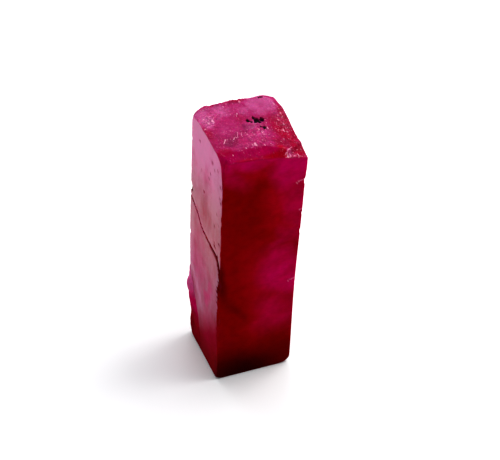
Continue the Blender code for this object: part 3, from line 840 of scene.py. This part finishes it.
def colour_zone_group():
    """A soft ellipsoid patch inside the stone, turned about its own centre."""
    group = bpy.data.node_groups.new("colour zone", "ShaderNodeTree")
    face = group.interface
    for name in ("Place", "Centre", "Reach", "Turn"):
        face.new_socket(name, in_out="INPUT", socket_type="NodeSocketVector")
    for name in ("Softness", "Strength"):
        face.new_socket(name, in_out="INPUT", socket_type="NodeSocketFloat")
    face.new_socket("Mask", in_out="OUTPUT", socket_type="NodeSocketFloat")
    ins = add_node(group, "NodeGroupInput")
    outs = add_node(group, "NodeGroupOutput")
    away = add_node(group, "ShaderNodeVectorMath", operation="SUBTRACT")
    turn = add_node(group, "ShaderNodeVectorRotate", rotation_type="EULER_XYZ")
    share = add_node(group, "ShaderNodeVectorMath", operation="DIVIDE")
    length = add_node(group, "ShaderNodeVectorMath", operation="LENGTH")
    feed(group, away.inputs[0], ins.outputs["Place"])
    feed(group, away.inputs[1], ins.outputs["Centre"])
    feed(group, turn.inputs["Vector"], away.outputs[0])
    feed(group, turn.inputs["Rotation"], ins.outputs["Turn"])
    feed(group, share.inputs[0], turn.outputs[0])
    feed(group, share.inputs[1], ins.outputs["Reach"])
    feed(group, length.inputs[0], share.outputs[0])
    passage = add_node(group, "ShaderNodeMapRange", interpolation_type="SMOOTHSTEP")
    feed(group, passage.inputs["Value"], length.outputs["Value"])
    feed(group, passage.inputs["From Min"], reckon(group, "SUBTRACT", 1.0, ins.outputs["Softness"]))
    feed(group, passage.inputs["From Max"], reckon(group, "ADD", 1.0, ins.outputs["Softness"]))
    feed(group, passage.inputs["To Min"], ins.outputs["Strength"])
    passage.inputs["To Max"].default_value = 0.0
    feed(group, outs.inputs["Mask"], passage.outputs["Result"])
    return group


def together(tree, group, place, zones):
    """The strongest of several colour zones."""
    total = None
    for centre, reach, turn, softness, strength in zones:
        node = add_node(tree, "ShaderNodeGroup", node_tree=group)
        node.inputs["Centre"].default_value = [a * MM for a in centre]
        node.inputs["Reach"].default_value = [a * MM for a in reach]
        node.inputs["Turn"].default_value = [math.radians(a) for a in turn]
        node.inputs["Softness"].default_value = softness
        node.inputs["Strength"].default_value = strength
        feed(tree, node.inputs["Place"], place)
        total = node.outputs[0] if total is None else reckon(tree, "MAXIMUM", total, node.outputs[0])
    return total


def wander(tree, place, per_mm, reach):
    """The place moved about softly, so that a zone's outline is cloudy."""
    warp = noise(tree, place, per_mm, 1.5, 0.4)
    centred = add_node(tree, "ShaderNodeVectorMath", operation="SUBTRACT")
    centred.inputs[1].default_value = (0.5, 0.5, 0.5)
    feed(tree, centred.inputs[0], warp.outputs["Color"])
    scaled = add_node(tree, "ShaderNodeVectorMath", operation="SCALE", Scale=reach * MM)
    feed(tree, scaled.inputs[0], centred.outputs[0])
    moved = add_node(tree, "ShaderNodeVectorMath", operation="ADD")
    feed(tree, moved.inputs[0], place)
    feed(tree, moved.inputs[1], scaled.outputs[0])
    return moved.outputs[0]


def tint(tree, colour, factor):
    """The colour made lighter or darker."""
    node = add_node(tree, "ShaderNodeVectorMath", operation="SCALE")
    feed(tree, node.inputs[0], colour)
    feed(tree, node.inputs["Scale"], factor)
    return node.outputs[0]


def inner_colour(tree, group, place, cloudy):
    """The stone's own red, in scarlet, crimson and magenta clouds with a painted glow on the front face's
    right, and how much painted shade darkens it towards the foot.
    """
    magenta = together(tree, group, cloudy, MAGENTA_ZONES)
    crimson = together(tree, group, cloudy, CRIMSON_ZONES)
    slanted = stretch(tree, turned(tree, place, (0, 28, 0)), (0.75, 1.0, 1.3))
    veils = uneven(tree, slanted, 0.3, 2.0, 0.45, 0.72, 1.2, distortion=0.2)
    crimson = reckon(tree, "MULTIPLY", reckon(tree, "MAXIMUM", crimson, magenta), veils, True)
    magenta = reckon(tree, "MULTIPLY", magenta, veils, True)
    colour = blend(tree, crimson, SCARLET, CRIMSON)
    colour = blend(tree, magenta, colour, MAGENTA)
    mottle = uneven(tree, place, 0.9, 3.0, 0.55, 0.93, 1.08)
    saw_lines = uneven(tree, stretch(tree, place, (0.3, 0.3, 1.0)), 3.0, 2.0, 0.5, 0.96, 1.04)
    colour = tint(tree, tint(tree, colour, mottle), saw_lines)
    colour = blend(tree, together(tree, group, wander(tree, place, 0.35, 1.2), DARK_ZONES), colour, WINE)
    # Painted shade: the stone grows darker towards its foot.
    foot = remap(tree, directions(tree, cloudy)["Z"], -1.0 * MM, 12.0 * MM, 0.6, 0.0)
    return colour, foot


def top_colour(tree, group, place, cloudy, masks):
    """The broken top: red and magenta where it is smooth, pink sugar elsewhere, with painted glints on bright
    facets, painted glow in its front band and painted shade in its furrow.
    """
    pink = together(tree, group, cloudy, PINK_ZONES)
    pink = reckon(tree, "ADD", pink, uneven(tree, place, 0.55, 5.0, 0.6, -0.2, 0.2), True)
    colour = blend(tree, remap(tree, pink, 0.1, 0.6), TOP_DUSK, TOP_ROSE)
    colour = blend(tree, remap(tree, pink, 0.55, 1.0), colour, TOP_PINK)
    colour = blend(tree, masks["band"], colour, TOP_MAGENTA)
    colour = blend(tree, together(tree, group, cloudy, RED_ZONES), colour, TOP_RED)
    colour = blend(tree, together(tree, group, place, BAND_ZONES), colour, TOP_SCARLET)
    # Painted glow: the steep front band made lighter than the lamps leave it.
    cerise_glow = multiply(tree, together(tree, group, place, CERISE_GLOW_ZONES), masks["band"])
    colour = blend(tree, cerise_glow, colour, TOP_CERISE_GLOW)
    # Painted shade in the furrow and on the slope down to the ledge.
    colour = blend(tree, together(tree, group, cloudy, PURPLE_SHADE_ZONES), colour, TOP_PURPLE_SHADE)
    grain = remap(tree, cells(tree, place, 2.5), 0.0, 1.0, 0.82, 1.2)
    fine = remap(tree, cells(tree, place, 5.0), 0.0, 1.0, 0.72, 1.3)
    grained = tint(tree, tint(tree, colour, grain), fine)
    colour = blend(tree, masks["sugar"], colour, grained)
    spark = sparkle(tree, place, 5.5, masks, 0.5)
    tiny = sparkle(tree, place, 9.0, masks, 0.45)
    return blend(tree, reckon(tree, "MAXIMUM", spark, tiny), colour, GLINT)


def sparkle(tree, place, per_mm, masks, strength):
    """Cells that catch the light: few on plain sugar, many where the bright facets are."""
    value = cells(tree, stretch(tree, place, (1.0, 0.6, 1.0)), per_mm)
    chance = multiply(tree, masks["sugar"], 0.12)
    few = remap(tree, reckon(tree, "ADD", value, chance), 0.98, 1.1, 0.0, strength)
    chance = multiply(tree, masks["bright"], 0.8)
    many = remap(tree, reckon(tree, "ADD", value, chance), 1.0, 1.4, 0.0, 0.7)
    return reckon(tree, "MAXIMUM", few, many)


def skin_colour(tree, place):
    """The natural skin: red at the foot, then magenta, and pink at the top."""
    height = directions(tree, place)["Z"]
    colour = blend(tree, remap(tree, height, 4.5 * MM, 9.0 * MM), SKIN_RED, SKIN_MAGENTA)
    colour = blend(tree, remap(tree, height, 9.6 * MM, 13.4 * MM), colour, SKIN_PINK)
    return tint(tree, colour, uneven(tree, place, 0.7, 4.0, 0.6, 0.8, 1.15))


def frost_and_sheen_share(tree, group, place, cloudy, masks):
    """How much frost and painted sheen lie on the sawn left face, and their colour. The painted sheen stands
    for the white table's reflection: most at the top, least at the foot, where the reflected table lies in
    shade.
    """
    _, across, height = directions(tree, place)
    slanted = reckon(tree, "ADD", height, multiply(tree, across, 0.81))
    # Painted sheen: it fades towards the foot, where the reflected table is in shade, and grows upwards.
    clear_foot = remap(tree, slanted, 4.5 * MM, 13.5 * MM, 0.08, 1.0)
    upwards = remap(tree, height, 6.0 * MM, 50.0 * MM, 0.62, 1.0)
    clouds = uneven(tree, place, 0.35, 3.0, 0.5, 0.85, 1.1, spread=0.18)
    streaks = uneven(tree, stretch(tree, place, (1.0, 1.0, 0.3)), 0.8, 3.0, 0.5, 0.92, 1.07)
    speckle = uneven(tree, place, 3.5, 3.0, 0.7, 0.92, 1.07)
    thin = reckon(tree, "SUBTRACT", 1.0, together(tree, group, cloudy, THIN_FROST_SHEEN_ZONES))
    thick = reckon(tree, "ADD", 1.0, together(tree, group, place, THICK_FROST_SHEEN_ZONES))
    share = multiply(tree, clear_foot, upwards, clouds, streaks, speckle, thin, thick)
    frost_sheen_colour = blend(tree, remap(tree, height, 16.0 * MM, 29.0 * MM), FROST_SHEEN_LOW, FROST_SHEEN_MIDDLE)
    frost_sheen_colour = blend(tree, remap(tree, height, 32.0 * MM, 45.5 * MM), frost_sheen_colour, FROST_SHEEN_TOP)
    return reckon(tree, "MULTIPLY", share, masks["left"], True), frost_sheen_colour


def side_veil(tree, place):
    """How much the right and back faces are frosted: thinly, with faint saw lines and a fine speckle."""
    veil = uneven(tree, place, 0.12, 3.0, 0.5, 0.12, 0.26, spread=0.15)
    along = stretch(tree, turned(tree, place, (4, 4, 0)), (0.12, 0.12, 1.0))
    saw_lines = uneven(tree, along, 2.2, 3.0, 0.6, 0.9, 1.1)
    speckle = uneven(tree, place, 2.6, 3.0, 0.7, 0.88, 1.12)
    return multiply(tree, veil, saw_lines, speckle)


def stone_colour(tree, group, place, cloudy, masks, frost_and_sheen, frost_sheen_colour):
    """The whole stone's colour, from inside outwards."""
    colour, foot = inner_colour(tree, group, place, cloudy)
    colour = blend(tree, multiply(tree, masks["skin"], 0.85), colour, skin_colour(tree, place))
    not_left = reckon(tree, "SUBTRACT", 1.0, multiply(tree, masks["left"], 0.75))
    # Painted shade towards the foot, weaker on the left face, whose painted sheen already fades there.
    colour = blend(tree, multiply(tree, foot, not_left), colour, WINE)
    # The left face's frost, with its painted sheen.
    colour = blend(tree, multiply(tree, frost_and_sheen, 0.55), colour, frost_sheen_colour)
    colour = blend(tree, multiply(tree, masks["side"], side_veil(tree, place)), colour, FROST_SHEEN_LOW)
    colour = blend(tree, multiply(tree, masks["chip"], 0.05), colour, TOP_PINK)
    top = top_colour(tree, group, place, wander(tree, place, 0.4, 1.6), masks)
    colour = blend(tree, masks["top"], colour, top)
    # Pale nicks, and the painted highlight along the front rim.
    colour = blend(tree, multiply(tree, masks["nick"], 0.8), colour, NICK_AND_GLINT)
    # Painted shade in the crack.
    colour = blend(tree, multiply(tree, masks["crack"], 0.95), colour, CLEFT_SHADE)
    # Black grains on the top, and painted shade in the plucked specks elsewhere.
    return blend(tree, masks["dark"], colour, blend(tree, masks["top"], CLEFT_SHADE, BLACK))


def surface_gloss(tree, place, masks, frost_and_sheen):
    """How much sheen lies on the surface: none in the crack, most on frost and on bright facets."""
    gloss = reckon(tree, "ADD", 0.01, multiply(tree, frost_and_sheen, 0.5))
    for name, share in (("side", 0.3), ("sugar", 0.12), ("bright", 0.4)):
        gloss = reckon(tree, "ADD", gloss, multiply(tree, masks[name], share))
    upper_skin = remap(tree, directions(tree, place)["Z"], 9.0 * MM, 14.0 * MM, 0.02, 0.14)
    gloss = reckon(tree, "MAXIMUM", gloss, multiply(tree, masks["skin"], upper_skin), True)
    return multiply(tree, gloss, reckon(tree, "SUBTRACT", 1.0, masks["crack"]))


def make_ruby():
    """Ruby: cloudy red and magenta inside, frosted where it was sawn, with a painted sheen on the left face,
    sugary where it broke.
    """
    material = bpy.data.materials.new("ruby")
    material.use_nodes = True
    tree = material.node_tree
    shader = tree.nodes["Principled BSDF"]
    group = colour_zone_group()
    place = add_node(tree, "ShaderNodeTexCoord").outputs["Object"]
    masks = {}
    for name in ("top", "sugar", "bright", "band", "left", "side", "chip", "skin", "nick", "dark", "crack"):
        masks[name] = add_node(tree, "ShaderNodeAttribute", attribute_name=name).outputs["Fac"]

    cloudy = wander(tree, place, 0.2, 5.0)
    frost_and_sheen, frost_sheen_colour = frost_and_sheen_share(tree, group, place, cloudy, masks)
    colour = stone_colour(tree, group, place, cloudy, masks, frost_and_sheen, frost_sheen_colour)
    feed(tree, shader.inputs["Base Color"], colour)
    feed(tree, shader.inputs["Coat Weight"], surface_gloss(tree, place, masks, frost_and_sheen))
    rough = reckon(tree, "SUBTRACT", 0.5, multiply(tree, masks["top"], 0.2))
    feed(tree, shader.inputs["Roughness"], rough)
    shader.inputs["Coat Roughness"].default_value = 0.2
    shader.inputs["Coat IOR"].default_value = 1.55
    shader.inputs["Specular IOR Level"].default_value = 0.0
    shader.inputs["Subsurface Weight"].default_value = 0.4
    shader.inputs["Subsurface Radius"].default_value = (1.0, 0.15, 0.4)
    shader.inputs["Subsurface Scale"].default_value = 1.0 * MM
    return material


# ---------------------------------------------------------------- table, lights and camera
# Lengths here are in metres and angles in degrees.
TABLE_HALF = 1.5
TABLE_WHITES = ((0.93, 0.94, 0.95), (0.95, 0.96, 0.97))
SURROUNDINGS, SURROUNDINGS_STRENGTH = (0.97, 0.98, 1.0, 1.0), 0.43
# Soft lights that face the stone: (name, place, size, power, colour).
LIGHTS = (
    ("window", (0.30, 0.02, 0.50), 0.36, 1.6, (1.0, 0.99, 0.97)),
    ("back light", (0.02, 0.34, 0.50), 0.45, 0.9, (1.0, 1.0, 1.0)),
)
LIT_PLACE = (0.0, 0.0, 0.02)
CAMERA_PLACE = (-0.055732, -0.127344, 0.125161)
# The camera looks this far down, is turned this far to the right, and leans over this far.
CAMERA_DOWN, CAMERA_TURN, CAMERA_LEAN = 35.0, 24.057, 3.011
FOCAL_LENGTH, SENSOR_WIDTH = 68.06, 36.0  # millimetres


def make_floor():
    """A plain pale table top."""
    bm = bmesh.new()
    bmesh.ops.create_grid(bm, x_segments=1, y_segments=1, size=TABLE_HALF)
    mesh = bpy.data.meshes.new("table")
    bm.to_mesh(mesh)
    bm.free()
    floor = bpy.data.objects.new("table", mesh)
    bpy.context.scene.collection.objects.link(floor)
    material = bpy.data.materials.new("white table")
    material.use_nodes = True
    tree = material.node_tree
    shader = tree.nodes["Principled BSDF"]
    mottle = add_node(tree, "ShaderNodeTexNoise", Scale=9.0)
    feed(tree, mottle.inputs["Vector"], add_node(tree, "ShaderNodeTexCoord").outputs["Object"])
    feed(tree, shader.inputs["Base Color"], blend(tree, mottle.outputs["Fac"], *TABLE_WHITES))
    shader.inputs["Roughness"].default_value = 0.7
    mesh.materials.append(material)


def add_soft_light(name, place, size, power, colour):
    """A square light that faces the stone."""
    light = bpy.data.lights.new(name, "AREA")
    light.size = size
    light.energy = power
    light.color = colour
    lamp = bpy.data.objects.new(name, light)
    lamp.location = place
    lamp.rotation_euler = (Vector(LIT_PLACE) - Vector(place)).to_track_quat("-Z", "Y").to_euler()
    bpy.context.scene.collection.objects.link(lamp)


def light_scene():
    """White surroundings, a window light to the right and a softer one behind."""
    world = bpy.data.worlds.new("studio")
    world.use_nodes = True
    background = world.node_tree.nodes["Background"]
    background.inputs["Color"].default_value = SURROUNDINGS
    background.inputs["Strength"].default_value = SURROUNDINGS_STRENGTH
    bpy.context.scene.world = world
    for light in LIGHTS:
        add_soft_light(*light)


def place_camera():
    """The camera, above the stone and to its left front."""
    camera = bpy.data.cameras.new("camera")
    camera.lens = FOCAL_LENGTH
    camera.sensor_width = SENSOR_WIDTH
    camera.clip_start = 0.005
    holder = bpy.data.objects.new("camera", camera)
    turn = Matrix.Rotation(math.radians(-CAMERA_TURN), 4, "Z")
    tilt = Matrix.Rotation(math.radians(90.0 - CAMERA_DOWN), 4, "X")
    lean = Matrix.Rotation(math.radians(CAMERA_LEAN), 4, "Z")
    holder.matrix_world = Matrix.Translation(CAMERA_PLACE) @ turn @ tilt @ lean
    bpy.context.scene.collection.objects.link(holder)
    bpy.context.scene.camera = holder
    bpy.context.scene.view_settings.view_transform = "Standard"
    bpy.context.scene.view_settings.look = "High Contrast"


stone = make_stone()
stone.data.materials.append(make_ruby())
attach(stone, "root")
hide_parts("ruby_crystal")
make_floor()
light_scene()
place_camera()
